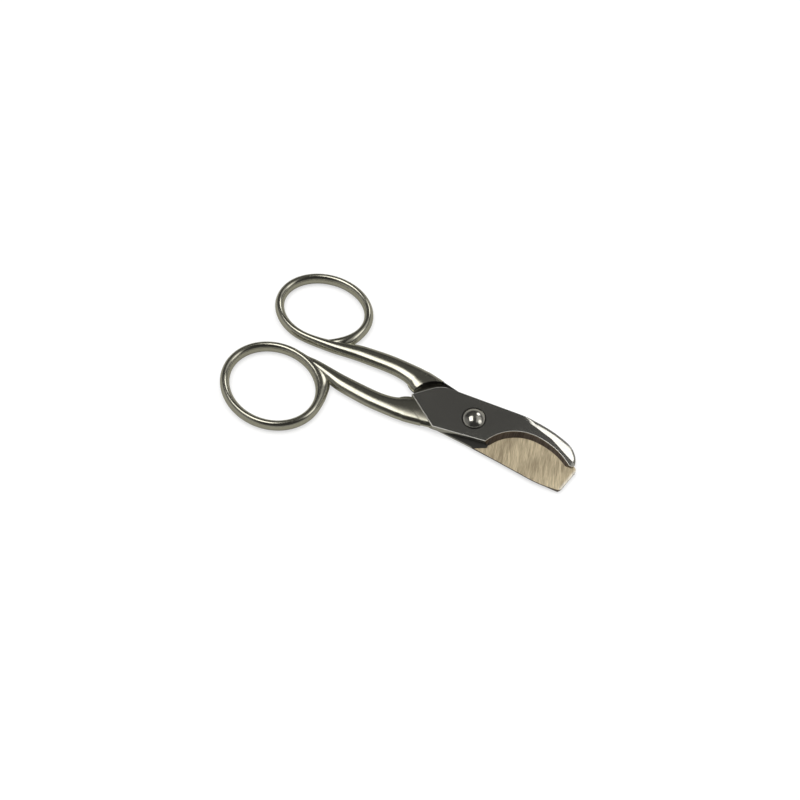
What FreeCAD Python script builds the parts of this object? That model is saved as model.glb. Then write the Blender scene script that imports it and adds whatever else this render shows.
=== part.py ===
import FreeCAD, Part
import math
import os
import Sketcher

# Scissors-type wick trimmer: two forged halves crossing at one domed rivet.
# The rivet axis is Z, the rest plane is z = 0, X runs from the rivet to the blade tips,
# and +Y is the side of the back half's finger bow. All sizes are in millimetres.

doc = FreeCAD.newDocument("wick_trimmer")
sheet = doc.addObject("Spreadsheet::Sheet", "Dimensions")

DIMENSIONS = {
    # the pair of blades
    "blade_thickness": 2.0,
    "blade_gap": 0.05,
    # finger bows: an elliptical bar bent round an oval
    "bar_width": 2.88,
    "bar_height": 4.0,
    "back_bow_x": -59.95,
    "back_bow_y": 15.5,
    "back_bow_half_length": 15.0,
    "back_bow_half_width": 11.85,
    "back_bow_tilt": 0.0,
    "front_bow_x": -60.6,
    "front_bow_y": -16.3,
    "front_bow_half_length": 15.75,
    "front_bow_half_width": 13.1,
    "front_bow_tilt": -11.0,
    # shanks: elliptical sections from the bow to under the rivet
    "shank_half_height": 1.97,
    "root_half_height": 1.85,
    "tail_half_width": 1.38,
    "throat_x": -50.0,
    "throat_y": 4.55,
    "throat_half_width": 2.03,
    "neck_x": -42.0,
    "neck_y": 6.05,
    "neck_half_width": 2.65,
    "waist_x": -32.0,
    "waist_y": 6.8,
    "waist_half_width": 2.9,
    "fork_x": -25.0,
    "fork_y": 6.6,
    "fork_half_width": 3.1,
    "crotch_x": -20.0,
    "crotch_y": 5.2,
    "crotch_half_width": 4.4,
    "root_x": -9.0,
    "root_y": 3.1,
    "root_half_width": 4.45,
    # shoulders: the arc-shaped step where a shank drops to half its height
    "shoulder_x": -9.9,
    "shoulder_y": -3.5,
    "shoulder_radius": 11.7,
    "shoulder_end_x": -13.9,
    # front blade outline
    "front_crotch_x": -20.4,
    "front_crotch_y": -0.9,
    "front_ramp_x": -15.2,
    "front_ramp_y": 4.3,
    "front_round_x": -10.0,
    "front_round_y": 6.2,
    "front_round_radius": 7.5,
    "spine_start_x": 13.0,
    "spine_start_y": 7.6,
    "spine_end_x": 27.7,
    "spine_end_y": 5.9,
    "spine_radius": 40.0,
    "front_tip_x": 32.8,
    "front_tip_y": -0.1,
    "front_tip_radius": 7.8,
    "tip_blunt_x": 32.3,
    "tip_blunt_y": -1.2,
    "heel_x": 10.0,
    "heel_y": -4.9,
    "front_root_x": -10.0,
    "front_root_y": -8.05,
    # trimming notch: two tangent arcs with a ground bevel
    "notch_crown_x": 19.1,
    "notch_crown_y": 1.95,
    "notch_heel_radius": 12.85,
    "notch_tip_radius": 20.3,
    "notch_bevel_width": 1.15,
    # spine facet and thinning of the front blade towards its tip
    "thinning_x": 10.0,
    "thinning_angle": 2.7,
    "facet_x": 14.0,
    "facet_y": 6.4,
    "facet_heading": -19.2,
    "facet_angle": 15.0,
    # back blade outline
    "back_crotch_x": -20.9,
    "back_crotch_y": 0.2,
    "back_ramp_x": -15.2,
    "back_ramp_y": -4.3,
    "back_round_x": -9.0,
    "back_round_y": -7.5,
    "back_round_radius": 9.0,
    "under_edge_x": 1.0,
    "under_edge_y": -7.9,
    "belly_x": 23.0,
    "belly_y": -9.95,
    "belly_end_x": 30.9,
    "belly_end_y": -9.6,
    "belly_radius": 40.0,
    "end_low_x": 32.2,
    "end_low_y": -8.5,
    "end_low_radius": 1.3,
    "end_high_x": 33.6,
    "end_high_y": -2.6,
    "back_tip_x": 32.5,
    "back_tip_y": -0.4,
    "back_tip_radius": 1.6,
    "edge_mid_x": 20.0,
    "edge_mid_y": 4.4,
    "edge_radius": 38.0,
    "edge_start_x": 5.0,
    "edge_start_y": 6.0,
    "back_root_x": -10.0,
    "back_root_y": 7.4,
    "relief_width": 1.1,
    "relief_height": 1.4,
    "relief_run_in": 2.0,
    "lower_edge_heading": -3.8,
    "end_heading": 76.6,
    # rivet
    "rivet_radius": 1.7,
    "rivet_clearance": 0.05,
    "seat_clearance": 0.03,
    "head_radius": 3.3,
    "head_rim": 0.35,
    "head_height": 1.8,
    "tail_flare_radius": 2.5,
    "tail_flare_depth": 0.8,
}

for row, (alias, value) in enumerate(DIMENSIONS.items(), start=1):
    sheet.set(f"A{row}", alias.replace("_", " "))
    sheet.set(f"B{row}", str(value))
    sheet.setAlias(f"B{row}", alias)
doc.recompute()

MID = "(Dimensions.blade_thickness + Dimensions.blade_gap / 2)"
BACK_FACE = "Dimensions.blade_thickness"
FRONT_FACE = "(Dimensions.blade_thickness + Dimensions.blade_gap)"
TOP = "(2 * Dimensions.blade_thickness + Dimensions.blade_gap)"
BACK = 1
FRONT = -1
REACH = 60
DEPTH = 6
FLAT_ON_EDGE = "rotation(90; 0; 90)"
UPRIGHT_ON_EDGE = "rotation(vector(1; 1; 1); 240)"


def add(kind, name, **expressions):
    """New document object with its properties bound to the sheet."""
    item = doc.addObject(kind, name)
    for path, expression in expressions.items():
        item.setExpression(path, expression)
    return item


def placed(x, y, z, turn="rotation(0; 0; 0)"):
    return f"placement(vector({x}; {y}; {z}); {turn})"


def corner(name):
    return f"Dimensions.{name}_x", f"Dimensions.{name}_y"


def hold(sketch, kind, axis, point, expression):
    """Hold one coordinate of a sketch point at the sheet's value."""
    value = sketch.evalExpression(expression)
    if abs(value) < 1e-9:
        sketch.addConstraint(Sketcher.Constraint("PointOnObject", *point, axis))
        return
    index = sketch.addConstraint(Sketcher.Constraint(kind, -1, 1, *point, value))
    sketch.setExpression(f"Constraints[{index}]", expression)


def outline(body, name, role, corners, arcs):
    """Closed sketch through corners. arcs: edge number -> (radius, True where it bulges left)."""
    sketch = body.newObject("Sketcher::SketchObject", name)
    plane = next(item for item in body.Origin.OriginFeatures if item.Role == role)
    sketch.AttachmentSupport = [(plane, "")]
    sketch.MapMode = "FlatFace"
    points = [
        FreeCAD.Vector(sketch.evalExpression(x), sketch.evalExpression(y), 0)
        for x, y in corners
    ]
    first_end = {}
    for edge, start in enumerate(points):
        end = points[(edge + 1) % len(points)]
        first_end[edge] = 1
        if edge not in arcs:
            sketch.addGeometry(Part.LineSegment(start, end))
            continue
        # a sketch arc runs counter-clockwise, so one that bulges left starts at the later corner
        expression, bulges_left = arcs[edge]
        if bulges_left:
            first_end[edge] = 2
            start, end = end, start
        radius = sketch.evalExpression(expression)
        half_chord = (end - start) / 2
        inward = FreeCAD.Vector(-half_chord.y, half_chord.x, 0).normalize()
        centre = start + half_chord + inward * math.sqrt(radius ** 2 - half_chord.Length ** 2)
        circle = Part.Circle(centre, FreeCAD.Vector(0, 0, 1), radius)
        angles = [math.atan2(point.y - centre.y, point.x - centre.x) for point in (start, end)]
        sketch.addGeometry(Part.ArcOfCircle(circle, *angles))
    for edge, (x, y) in enumerate(corners):
        before = (edge - 1) % len(corners)
        joint = (before, 3 - first_end[before], edge, first_end[edge])
        sketch.addConstraint(Sketcher.Constraint("Coincident", *joint))
        hold(sketch, "DistanceX", -2, (edge, first_end[edge]), x)
        hold(sketch, "DistanceY", -1, (edge, first_end[edge]), y)
    for edge, (expression, _) in arcs.items():
        value = sketch.evalExpression(expression)
        index = sketch.addConstraint(Sketcher.Constraint("Radius", edge, value))
        sketch.setExpression(f"Constraints[{index}]", expression)
    return sketch


def bow(name, prefix):
    """Finger bow: an elliptical bar swept round an oval, then turned and set in place."""
    path = add(
        "Part::Ellipse", f"{name}_path",
        MajorRadius=f"Dimensions.{prefix}_half_length",
        MinorRadius=f"Dimensions.{prefix}_half_width",
    )
    section = add(
        "Part::Ellipse", f"{name}_section",
        MajorRadius="Dimensions.bar_height / 2",
        MinorRadius="Dimensions.bar_width / 2",
        Placement=placed(f"Dimensions.{prefix}_half_length", 0, 0, UPRIGHT_ON_EDGE),
    )
    ring = add(
        "Part::Sweep", name,
        Placement=placed(*corner(prefix), MID, f"rotation(Dimensions.{prefix}_tilt; 0; 0)"),
    )
    ring.Spine = (path, ["Edge1"])
    ring.Sections = [section]
    ring.Solid = True
    ring.Frenet = True
    return ring


def shank(name, side, bow_name):
    """Forged bar from the bow to under the rivet, lofted through elliptical sections."""
    tail_y = f"Dimensions.{bow_name}_y - {side} * Dimensions.{bow_name}_half_width"
    tail = add(
        "Part::Ellipse", f"{name}_tail",
        MajorRadius="Dimensions.tail_half_width",
        MinorRadius="Dimensions.tail_half_width",
        Placement=placed(f"Dimensions.{bow_name}_x", tail_y, MID, FLAT_ON_EDGE),
    )
    stations = {
        "throat": "Dimensions.shank_half_height",
        "neck": "Dimensions.shank_half_height",
        "waist": "Dimensions.shank_half_height",
        "fork": "Dimensions.shank_half_height",
        "crotch": "Dimensions.root_half_height",
        "root": "Dimensions.root_half_height",
    }
    sections = [tail]
    for station, half_height in stations.items():
        x, y = corner(station)
        sections.append(add(
            "Part::Ellipse", f"{name}_{station}",
            MajorRadius=f"Dimensions.{station}_half_width",
            MinorRadius=half_height,
            Placement=placed(x, f"{side} * {y}", MID, FLAT_ON_EDGE),
        ))
    bar = doc.addObject("Part::Loft", name)
    bar.Sections = sections
    bar.Solid = True
    return bar


def shoulder_cutter(name, side):
    """Takes away the half of the shank's height that the other half's blade passes through."""
    base = BACK_FACE if side == BACK else f"{FRONT_FACE} - {DEPTH}"
    arc = add(
        "Part::Cylinder", f"{name}_arc",
        Radius="Dimensions.shoulder_radius",
        Placement=placed("Dimensions.shoulder_x", f"{side} * Dimensions.shoulder_y", base),
    )
    arc.Height = DEPTH
    beyond = add(
        "Part::Box", f"{name}_beyond",
        Placement=placed("Dimensions.shoulder_end_x", -REACH / 2, base),
    )
    beyond.Length = REACH
    beyond.Width = REACH
    beyond.Height = DEPTH
    cutter = doc.addObject("Part::Fuse", name)
    cutter.Base = arc
    cutter.Tool = beyond
    return cutter


def blade(name, corners, arcs, base):
    """Flat blade and ricasso, padded from its outline."""
    body = add("PartDesign::Body", name, Placement=placed(0, 0, base))
    sketch = outline(body, f"{name}_outline", "XY_Plane", corners, arcs)
    doc.recompute()
    pad = body.newObject("PartDesign::Pad", f"{name}_pad")
    pad.Profile = sketch
    pad.setExpression("Length", "Dimensions.blade_thickness")
    doc.recompute()
    return body


def cut(name, base, tool):
    item = doc.addObject("Part::Cut", name)
    item.Base = base
    item.Tool = tool
    return item


def fuse(name, pieces):
    item = doc.addObject("Part::MultiFuse", name)
    item.Shapes = pieces
    return item


def notch_cutter():
    """The curved trimming edge: two cones, the larger one kept on the tip side of the crown."""
    cones = {}
    for part_of_edge in ("heel", "tip"):
        radius = f"Dimensions.notch_{part_of_edge}_radius"
        cones[part_of_edge] = add(
            "Part::Cone", f"notch_{part_of_edge}_cone",
            Radius1=radius,
            Radius2=f"{radius} + Dimensions.notch_bevel_width",
            Height="Dimensions.blade_thickness",
            Placement=placed(
                "Dimensions.notch_crown_x", f"Dimensions.notch_crown_y - {radius}", FRONT_FACE
            ),
        )
    tip_side = add(
        "Part::Box", "notch_tip_side",
        Placement=placed("Dimensions.notch_crown_x", -REACH, FRONT_FACE),
    )
    tip_side.Length = REACH
    tip_side.Width = 2 * REACH
    tip_side.Height = DEPTH
    tip_arc = doc.addObject("Part::Common", "notch_tip_arc")
    tip_arc.Base = cones["tip"]
    tip_arc.Tool = tip_side
    cutter = doc.addObject("Part::Fuse", "notch_cutter")
    cutter.Base = cones["heel"]
    cutter.Tool = tip_arc
    return cutter


def slab(name, x, y, turn):
    """Box that planes material off above a tilted face through (x, y) on the top face."""
    item = add("Part::Box", name, Placement=placed(x, y, TOP, turn))
    item.Length = REACH
    item.Width = REACH
    item.Height = DEPTH
    return item


def build_front_half():
    corners = [corner(name) for name in (
        "front_crotch", "front_ramp", "front_round", "spine_start", "spine_end",
        "front_tip", "tip_blunt", "heel", "front_root",
    )]
    arcs = {
        1: ("Dimensions.front_round_radius", True),
        3: ("Dimensions.spine_radius", True),
        4: ("Dimensions.front_tip_radius", True),
    }
    plate = blade("front_blade", corners, arcs, FRONT_FACE)
    thinning = slab(
        "front_thinning", "Dimensions.thinning_x", -REACH / 2,
        "rotation(0; Dimensions.thinning_angle; 0)",
    )
    facet = slab(
        "spine_facet", "Dimensions.facet_x", "Dimensions.facet_y",
        "rotation(Dimensions.facet_heading; Dimensions.thinning_angle; -Dimensions.facet_angle)",
    )
    ground = fuse("front_grinding", [thinning, facet, notch_cutter()])
    ground_blade = cut("front_ground_blade", plate, ground)
    bar = cut("front_bar", shank("front_shank", FRONT, "front_bow"), shoulder_cutter("front_shoulder", FRONT))
    forging = fuse("front_forging", [ground_blade, bar, bow("front_bow", "front_bow")])
    hole = add(
        "Part::Cylinder", "front_rivet_hole",
        Radius="Dimensions.rivet_radius + Dimensions.rivet_clearance",
    )
    hole.Height = 2 * DEPTH
    return cut("front_half", forging, hole)


def edge_relief(name, start, heading):
    """Box that bevels the outer face along the line that leaves start on the given heading."""
    x, y = corner(start)
    turn = f"(Dimensions.{heading} * 1 deg)"
    along = (f"cos{turn}", f"sin{turn}")
    base_x = f"{x} - Dimensions.relief_run_in * {along[0]} - Dimensions.relief_width * {along[1]}"
    base_y = f"{y} - Dimensions.relief_run_in * {along[1]} + Dimensions.relief_width * {along[0]}"
    tilt = "180 - atan(Dimensions.relief_height / Dimensions.relief_width) / 1 deg"
    box = add(
        "Part::Box", name,
        Placement=placed(base_x, base_y, 0, f"rotation(Dimensions.{heading}; 0; {tilt})"),
    )
    box.Length = REACH
    box.Width = DEPTH
    box.Height = DEPTH
    return box


def build_back_half():
    corners = [corner(name) for name in (
        "back_crotch", "back_root", "edge_start", "edge_mid", "back_tip",
        "end_high", "end_low", "belly_end", "belly", "under_edge", "back_round", "back_ramp",
    )]
    arcs = {
        3: ("Dimensions.edge_radius", True),
        4: ("Dimensions.back_tip_radius", True),
        6: ("Dimensions.end_low_radius", True),
        7: ("Dimensions.belly_radius", True),
        10: ("Dimensions.back_round_radius", True),
    }
    plate = blade("back_blade", corners, arcs, "0")
    reliefs = [
        edge_relief("lower_edge_relief", "back_round", "lower_edge_heading"),
        edge_relief("end_relief", "end_low", "end_heading"),
    ]
    ground_blade = cut("back_ground_blade", plate, fuse("back_grinding", reliefs))
    bar = cut("back_bar", shank("back_shank", BACK, "back_bow"), shoulder_cutter("back_shoulder", BACK))
    forging = fuse("back_forging", [ground_blade, bar, bow("back_bow", "back_bow")])
    hole = add("Part::Cylinder", "back_rivet_hole", Radius="Dimensions.rivet_radius")
    hole.Height = DEPTH
    flare = add(
        "Part::Cone", "back_countersink",
        Radius1="Dimensions.tail_flare_radius",
        Radius2="Dimensions.rivet_radius",
        Height="Dimensions.tail_flare_depth",
    )
    return cut("back_half", forging, fuse("back_rivet_seat", [hole, flare]))


def build_pivot_rivet():
    """Domed head, plain shank and a tail peened flush into the back half's countersink."""
    body = doc.addObject("PartDesign::Body", "pivot_rivet")
    seat = f"{TOP} + Dimensions.seat_clearance"
    crown = f"{seat} + Dimensions.head_height"
    cap_height = "(Dimensions.head_height - Dimensions.head_rim)"
    dome = f"(Dimensions.head_radius^2 + {cap_height}^2) / (2 * {cap_height})"
    corners = [
        ("0", "0"),
        ("Dimensions.tail_flare_radius", "0"),
        ("Dimensions.rivet_radius", "Dimensions.tail_flare_depth"),
        ("Dimensions.rivet_radius", seat),
        ("Dimensions.head_radius", seat),
        ("Dimensions.head_radius", f"{seat} + Dimensions.head_rim"),
        ("0", crown),
    ]
    profile = outline(body, "rivet_profile", "XZ_Plane", corners, {5: (dome, False)})
    doc.recompute()
    turned = body.newObject("PartDesign::Revolution", "rivet_turned")
    turned.Profile = profile
    turned.ReferenceAxis = (profile, ["V_Axis"])
    turned.Angle = 360
    return body


NODES = [build_front_half(), build_back_half(), build_pivot_rivet()]
doc.recompute()

for item in doc.Objects:
    if "Invalid" in item.State or "Error" in item.State:
        raise RuntimeError(f"{item.Name} failed to build: {item.State}")
os.makedirs("parts", exist_ok=True)
for node in NODES:
    node.Label = node.Name
    shape = node.Shape
    if shape.isNull() or not shape.isValid():
        raise RuntimeError(f"{node.Label} has no valid shape")
    if len(shape.Solids) != 1:
        raise RuntimeError(f"{node.Label} is {len(shape.Solids)} solids")
    shape.exportStep(f"parts/{node.Label}.step")
    box = shape.BoundBox
    print(f"{node.Label}: volume {shape.Volume:.1f} mm3, box {box}")
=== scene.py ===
# %% [markdown]
# # Wick trimmer
# A pair of small forged scissors for candle wicks, about 111 mm long, lying flat and closed.
# Each half is one forging: a finger bow, a shank and a flat blade. A domed rivet joins them.
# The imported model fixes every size, so the first cell loads it and keeps its box for later.

# %% Load the frame
import math

import bmesh
import bpy
import numpy as np
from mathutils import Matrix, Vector


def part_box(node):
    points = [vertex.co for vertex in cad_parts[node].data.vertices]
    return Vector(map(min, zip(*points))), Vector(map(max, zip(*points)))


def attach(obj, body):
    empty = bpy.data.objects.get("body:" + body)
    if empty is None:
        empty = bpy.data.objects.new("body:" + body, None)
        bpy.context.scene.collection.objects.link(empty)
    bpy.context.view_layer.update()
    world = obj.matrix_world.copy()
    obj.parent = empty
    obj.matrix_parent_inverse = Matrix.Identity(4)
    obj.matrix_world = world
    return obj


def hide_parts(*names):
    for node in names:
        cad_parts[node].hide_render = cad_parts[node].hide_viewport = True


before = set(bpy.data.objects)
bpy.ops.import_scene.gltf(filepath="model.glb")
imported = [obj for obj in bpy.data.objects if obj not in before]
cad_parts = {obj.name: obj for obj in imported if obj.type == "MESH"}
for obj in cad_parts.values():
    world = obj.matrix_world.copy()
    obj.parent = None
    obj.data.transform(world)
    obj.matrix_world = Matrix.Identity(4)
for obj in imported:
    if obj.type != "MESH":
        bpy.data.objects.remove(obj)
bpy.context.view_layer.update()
MM = 0.001
rivet_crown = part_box("pivot_rivet")[1].z / MM

# %% [markdown]
# ## Levels
# The two blades are 2 mm plates that slide on each other. The back half's plate lies on the
# rest plane, the front half's plate lies on it with a hair of clearance, and both shanks share
# the middle height. Every later cell uses these few heights, so they are worked out once.

# %% Heights shared by all the pieces, in millimetres
PLATE = 2.0
BACK_FACE = PLATE
FRONT_FACE = BACK_FACE + 0.05
TOP_FACE = FRONT_FACE + PLATE
MIDDLE = (BACK_FACE + FRONT_FACE) / 2
TALL = 1.98  # half height of a full bar
print("top face at", TOP_FACE, "mm, rivet crown at", round(rivet_crown, 2), "mm")

# %% [markdown]
# ## Node helpers
# Both the shape tree and the materials are node trees. A tree is easier to read when a line of
# code names a node, sets its values and links its inputs, so a few small helpers do that.

# %% Helpers for node trees
def node(tree, kind, inputs=(), **settings):
    """Add a node; inputs maps a socket's name or number to a value or another node's output."""
    made = tree.nodes.new(kind)
    for name, value in settings.items():
        setattr(made, name, value)
    for key, value in dict(inputs).items():
        socket = made.inputs[key]
        if isinstance(value, bpy.types.NodeSocket):
            tree.links.new(value, socket)
        else:
            socket.default_value = value
    return made


def maths(tree, operation, *values):
    """The result of one math node."""
    return node(tree, "ShaderNodeMath", dict(enumerate(values)), operation=operation).outputs["Value"]


def vector_maths(tree, operation, *values, result="Vector"):
    """The result of one vector math node; a length or a dot product is its Value."""
    return node(tree, "ShaderNodeVectorMath", dict(enumerate(values)), operation=operation).outputs[result]


def eased(tree, value, low, high, bottom=0.0, top=1.0):
    """A smooth step from bottom, where the value is low, to top, where it is high."""
    return node(tree, "ShaderNodeMapRange", {0: value, 1: low, 2: high, 3: bottom, 4: top},
                interpolation_type="SMOOTHSTEP").outputs[0]


def ramp(tree, value, first, last):
    """A colour ramp from one colour at 0 to another at 1."""
    made = node(tree, "ShaderNodeValToRGB", {"Fac": value})
    for element, colour in zip(made.color_ramp.elements, (first, last)):
        element.color = (*colour, 1.0)
    return made.outputs["Color"]


def mixed_colour(tree, share, first, second):
    return node(tree, "ShaderNodeMix", {0: share, 6: first, 7: second}, data_type="RGBA").outputs[2]


print("node helpers ready")

# %% [markdown]
# ## The swept bar
# Shanks and bows are forged bars: a smith draws a bar out, bends it into a ring and welds the
# ring to the shank. Extruding a curve would give one constant round section. A Geometry Nodes
# tree can instead read a width and a height at each station, square the section off where the
# bar is flattened, and stop it at the curved shoulder beside the rivet. The tree bends a grid:
# one direction runs along the path, the other goes round the bar.

# %% The tree that bends a grid round a path
BAR_SOCKETS = {
    "Rows": ("NodeSocketInt", 520),
    "Facets": ("NodeSocketInt", 48),
    "Lowest": ("NodeSocketFloat", -1.0),
    "Highest": ("NodeSocketFloat", 1.0),
    "Inset": ("NodeSocketFloat", 0.0),
    "Shoulder X": ("NodeSocketFloat", 1.0),
    "Shoulder Y": ("NodeSocketFloat", 0.0),
    "Shoulder Radius": ("NodeSocketFloat", 0.0),
    "Shoulder Limit": ("NodeSocketFloat", 1.0),
    "Arris": ("NodeSocketFloat", 0.0001),
    "Closed": ("NodeSocketFloat", 0.0),
    "Material": ("NodeSocketMaterial", None),
}
STATION_COLUMNS = ("half_width", "half_height", "squareness", "lean")
END_ROWS = 8.0  # rows that close each end of an open bar
FIRST_PITCH = 0.38  # pitch of the first rows, as a share of the mean pitch


def powered(tree, wave, squareness):
    """sign(wave) * |wave| ** (2 / squareness), the superellipse."""
    size = maths(tree, "POWER", maths(tree, "ABSOLUTE", wave), maths(tree, "DIVIDE", 2.0, squareness))
    return maths(tree, "MULTIPLY", maths(tree, "SIGN", wave), size)


def bar_tree():
    """Path in, bar out; every length is in metres."""
    tree = bpy.data.node_groups.new("bar along a path", "GeometryNodeTree")
    face = tree.interface
    face.new_socket("Path", in_out="INPUT", socket_type="NodeSocketGeometry")
    for name, (kind, default) in BAR_SOCKETS.items():
        socket = face.new_socket(name, in_out="INPUT", socket_type=kind)
        if default is not None:
            socket.default_value = default
    face.new_socket("Bar", in_out="OUTPUT", socket_type="NodeSocketGeometry")
    sockets = node(tree, "NodeGroupInput").outputs

    # the stations become one smooth curve that still carries their named widths
    path = node(tree, "GeometryNodeMeshToCurve", {"Mesh": sockets["Path"]}).outputs["Curve"]
    path = node(tree, "GeometryNodeCurveSplineType", {"Curve": path}, spline_type="CATMULL_ROM")
    path = node(tree, "GeometryNodeSetSplineResolution", {
        "Geometry": path.outputs["Curve"], "Resolution": 24,
    }).outputs["Geometry"]

    grid = node(tree, "GeometryNodeMeshGrid", {
        "Size X": 1.0, "Size Y": 1.0, "Vertices X": sockets["Rows"], "Vertices Y": sockets["Facets"],
    }).outputs["Mesh"]
    flat = node(tree, "ShaderNodeSeparateXYZ", {0: node(tree, "GeometryNodeInputPosition").outputs[0]})
    run = maths(tree, "ADD", flat.outputs["X"], 0.5)
    turn = maths(tree, "MULTIPLY", flat.outputs["Y"], 2 * math.pi)

    # rows crowd together at the shoulder, where the bar ends in a sharp wall
    factor = maths(tree, "MULTIPLY", run, maths(tree, "MULTIPLY_ADD", run, 1 - FIRST_PITCH, FIRST_PITCH))

    def sample(name=None):
        inputs = {"Curves": path, "Factor": factor}
        if name:
            named = node(tree, "GeometryNodeInputNamedAttribute", {"Name": name}, data_type="FLOAT")
            inputs["Value"] = named.outputs["Attribute"]
        return node(tree, "GeometryNodeSampleCurve", inputs,
                    mode="FACTOR", use_all_curves=True, data_type="FLOAT")

    middle = sample()
    half_width, half_height, squareness, lean = (
        sample(name).outputs["Value"] for name in STATION_COLUMNS
    )

    # both ends close over a few shrinking rows, unless the path is a ring
    rows = maths(tree, "DIVIDE", maths(tree, "SUBTRACT", sockets["Rows"], 1), END_ROWS)
    end = maths(tree, "MULTIPLY", maths(tree, "MINIMUM", run, maths(tree, "SUBTRACT", 1.0, run)), rows)
    end = maths(tree, "MINIMUM", maths(tree, "MAXIMUM", end, sockets["Closed"]), 1.0)
    wide = maths(tree, "MULTIPLY", maths(tree, "SUBTRACT", half_width, sockets["Inset"]), end)
    high = maths(tree, "MULTIPLY", maths(tree, "SUBTRACT", half_height, sockets["Inset"]), end)

    across = vector_maths(tree, "CROSS_PRODUCT", middle.outputs["Tangent"], (0, 0, 1))
    across = vector_maths(tree, "NORMALIZE", across)
    rise = powered(tree, maths(tree, "COSINE", turn), squareness)
    sideways = powered(tree, maths(tree, "SINE", turn), squareness)
    # the crest of the bar leans to one side
    crest = maths(tree, "MULTIPLY", lean, maths(tree, "MULTIPLY", rise, rise))
    sideways = maths(tree, "ADD", sideways, crest)
    offset = node(tree, "ShaderNodeVectorMath", {
        0: across, "Scale": maths(tree, "MULTIPLY", sideways, wide),
    }, operation="SCALE").outputs["Vector"]
    lift = node(tree, "ShaderNodeCombineXYZ", {"Z": maths(tree, "MULTIPLY", rise, high)}).outputs["Vector"]
    spot = vector_maths(tree, "ADD", vector_maths(tree, "ADD", middle.outputs["Position"], offset), lift)

    # the shoulder: x never passes an upright arc round the other half's blade
    part = node(tree, "ShaderNodeSeparateXYZ", {0: spot})
    away = maths(tree, "SUBTRACT", part.outputs["Y"], sockets["Shoulder Y"])
    radius = sockets["Shoulder Radius"]
    square = maths(tree, "MULTIPLY", radius, radius)
    square = maths(tree, "SUBTRACT", square, maths(tree, "MULTIPLY", away, away))
    reach = maths(tree, "SQRT", maths(tree, "MAXIMUM", square, 0.0))
    wall = maths(tree, "SUBTRACT", sockets["Shoulder X"], reach)
    wall = maths(tree, "MINIMUM", wall, sockets["Shoulder Limit"])
    stopped = maths(tree, "SMOOTH_MIN", part.outputs["X"], wall, sockets["Arris"])
    level = maths(tree, "MAXIMUM", part.outputs["Z"], sockets["Lowest"])
    level = maths(tree, "MINIMUM", level, sockets["Highest"])
    spot = node(tree, "ShaderNodeCombineXYZ", {
        "X": stopped, "Y": part.outputs["Y"], "Z": level,
    }).outputs["Vector"]

    # how far along the bar each point is, for marks that run across it
    length = node(tree, "GeometryNodeCurveLength", {"Curve": path}).outputs["Length"]
    stored = node(tree, "GeometryNodeStoreNamedAttribute", {
        "Geometry": grid, "Name": "along", "Value": maths(tree, "MULTIPLY", factor, length),
    }, data_type="FLOAT", domain="POINT").outputs["Geometry"]
    bent = node(tree, "GeometryNodeSetPosition", {"Geometry": stored, "Position": spot}).outputs["Geometry"]
    closed = node(tree, "GeometryNodeMergeByDistance", {"Geometry": bent, "Distance": 2e-7})
    real = node(tree, "GeometryNodeRealizeInstances", {"Geometry": closed.outputs["Geometry"]})
    dressed = node(tree, "GeometryNodeSetMaterial", {
        "Geometry": real.outputs["Geometry"], "Material": sockets["Material"],
    })
    node(tree, "NodeGroupOutput", {"Bar": dressed.outputs["Geometry"]})
    return tree


bar_nodes = bar_tree()
print("bar tree has", len(bar_nodes.nodes), "nodes")

# %% [markdown]
# ## Stations of the two handles
# A station is a place on the bar's middle line with the half width and half height there. The
# shank is widest beside the rivet and thins towards the bow, which is an even oval ring. On the
# back half the shank runs straight on into the ring, and the ring's end sinks into the shank
# where it is welded. On the front half the ring is whole, and the shank's tail sinks into it.
# The hammer spreads the ring outwards at the weld, while its crest stays on the clean oval.

# %% Stations, in millimetres
HALVES = (("back", 1), ("front", -1))  # each half's name and the side of its handle
SHANK = [  # x, distance from the middle line, half width, half height, squareness, lean of the crest
    (-12.0, 4.65, 3.35, TALL, 2.2, 0.0),
    (-16.0, 4.95, 3.85, TALL, 2.2, 0.0),
    (-20.0, 5.42, 4.06, TALL, 2.2, 0.0),
    (-22.5, 6.10, 3.58, TALL, 2.1, 0.0),
    (-25.0, 6.52, 3.18, TALL, 2.1, 0.0),
    (-28.5, 6.80, 2.96, TALL, 2.05, 0.0),
    (-32.0, 6.80, 2.90, TALL, 2.05, 0.0),
    (-37.0, 6.50, 2.80, TALL, 2.05, 0.0),
    (-42.0, 6.05, 2.66, TALL, 2.0, 0.0),
    (-46.0, 5.32, 2.32, TALL, 2.0, 0.0),
]
TAILS = {
    "back": [(-50.0, 4.55, 2.00, TALL, 2.0, 0.0), (-55.0, 3.90, 1.62, TALL, 1.9, 0.0)],
    "front": [(-50.0, 4.50, 1.95, 1.93, 2.0, 0.0), (-52.5, 4.05, 1.72, 1.82, 2.0, 0.0),
              (-55.0, 3.75, 1.45, 1.62, 2.0, 0.0), (-58.0, 3.55, 1.15, 1.35, 2.0, 0.0)],
}
BOWS = {  # centre, half length, half width, tilt in degrees, spread at the weld
    "back": ((-59.95, 15.5), (15.0, 11.85), 0.0, 0.80),
    "front": ((-60.6, -16.3), (15.75, 13.1), -11.0, 0.95),
}
RING_HALF_WIDTH = 1.44
RING_SQUARENESS = 1.85
RING_STEP = 15  # degrees
WELD_TURN, WELD_REACH = 320, 22  # degrees round the ring: middle and half length of the weld
WELD_LEAN = 0.6
WELD_HEIGHTS = {315: 1.86, 330: 1.50, 345: 0.90}  # degrees round the back ring, half height


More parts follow.
